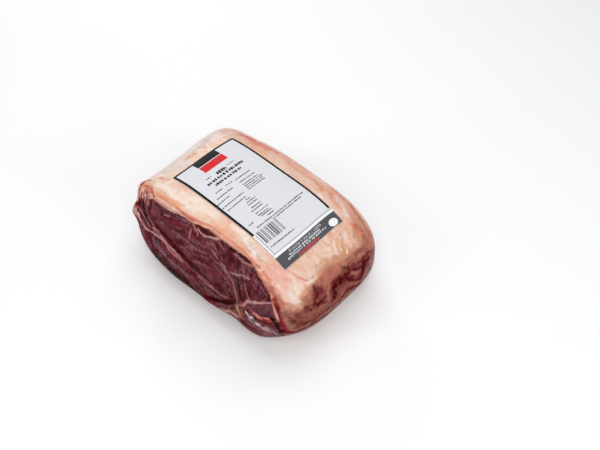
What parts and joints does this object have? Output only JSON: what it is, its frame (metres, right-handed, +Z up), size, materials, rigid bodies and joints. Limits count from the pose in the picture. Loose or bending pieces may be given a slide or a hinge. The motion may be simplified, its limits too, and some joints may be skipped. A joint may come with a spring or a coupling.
{
  "type": "vacuum-packed beef sirloin block",
  "caption": "Block of beef sirloin with a thick fat cap over one cut lean face, sealed in clear film with a paper label on top.",
  "frame": {"origin": "on the surface the pack rests on, under the middle of the pack's bounding box", "axes": "+X along the label to the end where the fat cap folds down, -Y out of the cut lean face, +Z up"},
  "size_m": [0.2254, 0.1622, 0.1074],
  "materials": {
    "sealed_pack": "clear glossy film drawn tight over cream fat and dark red lean meat",
    "label": "satin coated label stock, pale grey with a dark border and a dark grey foot band"
  },
  "bodies": {
    "root": {"sealed_pack": "sealed_pack", "label": "label"}
  },
  "joints": []
}
